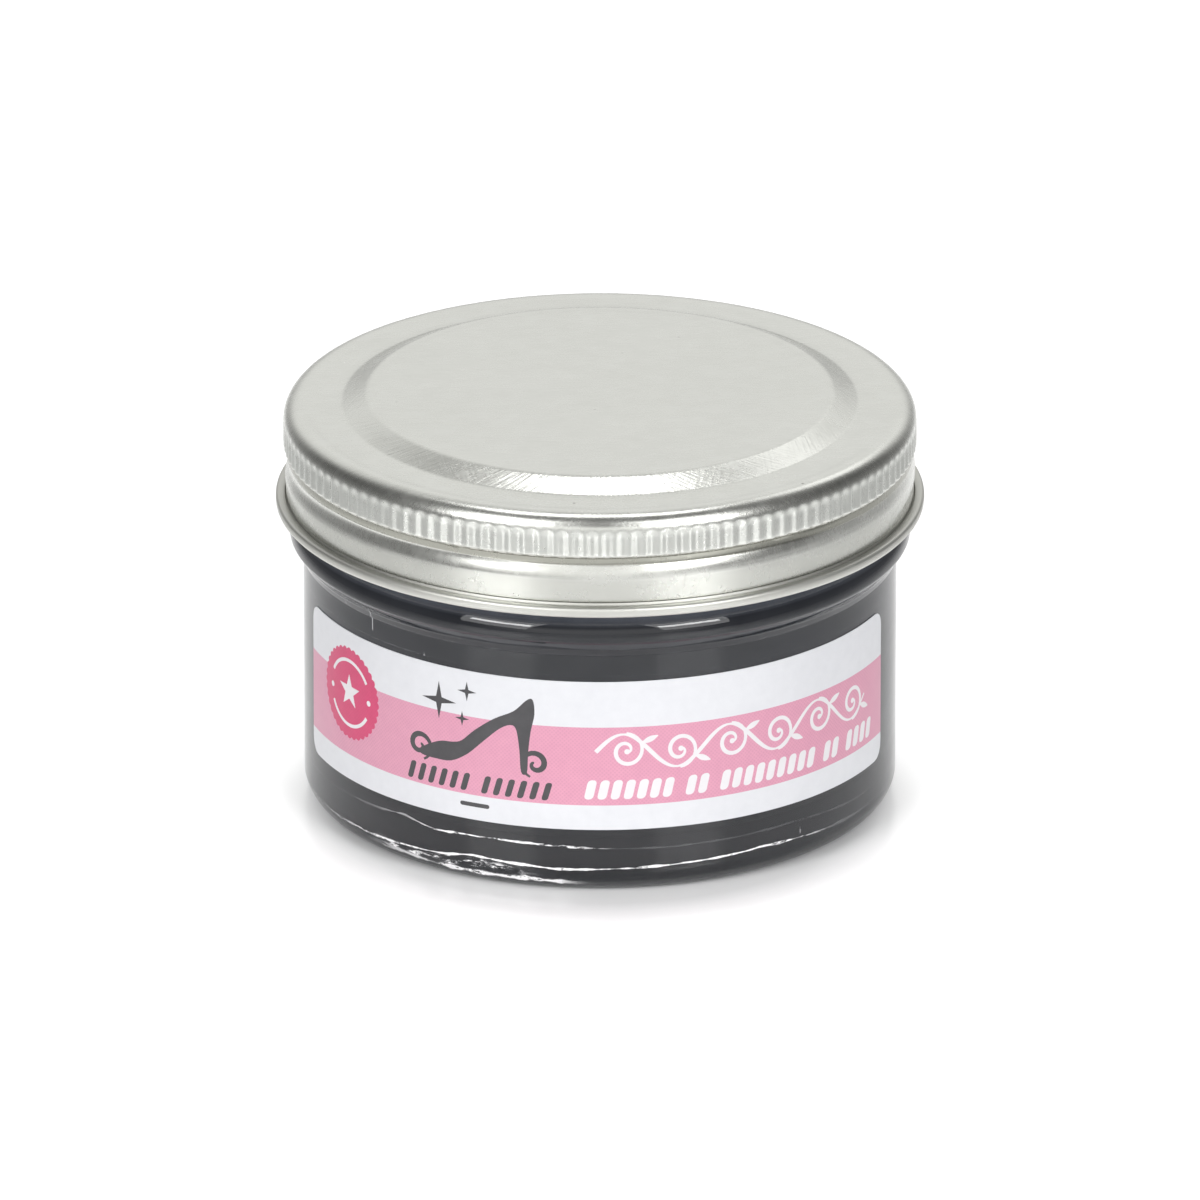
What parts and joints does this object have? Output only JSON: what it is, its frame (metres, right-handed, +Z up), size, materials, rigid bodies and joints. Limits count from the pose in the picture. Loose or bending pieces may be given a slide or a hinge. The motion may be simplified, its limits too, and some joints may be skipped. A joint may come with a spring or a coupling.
{
  "type": "shoe cream jar",
  "caption": "Low round glass jar of dark shoe cream with a screw-on tinplate lid, knurled grip, rolled edge and wrap-around paper label.",
  "frame": {"origin": "centre of the jar's base, on the surface it stands on", "axes": "+Z up along the jar's axis, -Y towards the front label, +X to the right seen from the front"},
  "size_m": [0.0612, 0.0612, 0.0399],
  "materials": {
    "glass": "clear, glossy",
    "cream": "black waxy cream",
    "label": "white satin film, printed",
    "liner": "white foam",
    "tinplate": "satin tinplate"
  },
  "bodies": {
    "jar": {"glass_jar": "glass", "shoe_cream": "cream", "front_label": "label", "rear_label": "label"},
    "liner": {"lid_liner": "liner"},
    "lid": {"lid_shell": "tinplate"}
  },
  "joints": [
    {"name": "lid_rise", "type": "slide", "parent": "jar", "child": "liner", "axis": [0, 0, 1], "range_m": [0, 0.0106]},
    {"name": "lid_turn", "type": "hinge", "parent": "liner", "child": "lid", "pos_m": [0, 0, 0.03], "axis": [0, 0, 1], "range_deg": [0, 900]}
  ],
  "couplings": [
    {"joint": "lid_rise", "follows": "lid_turn", "m_per_rad": 0.00067376}
  ]
}
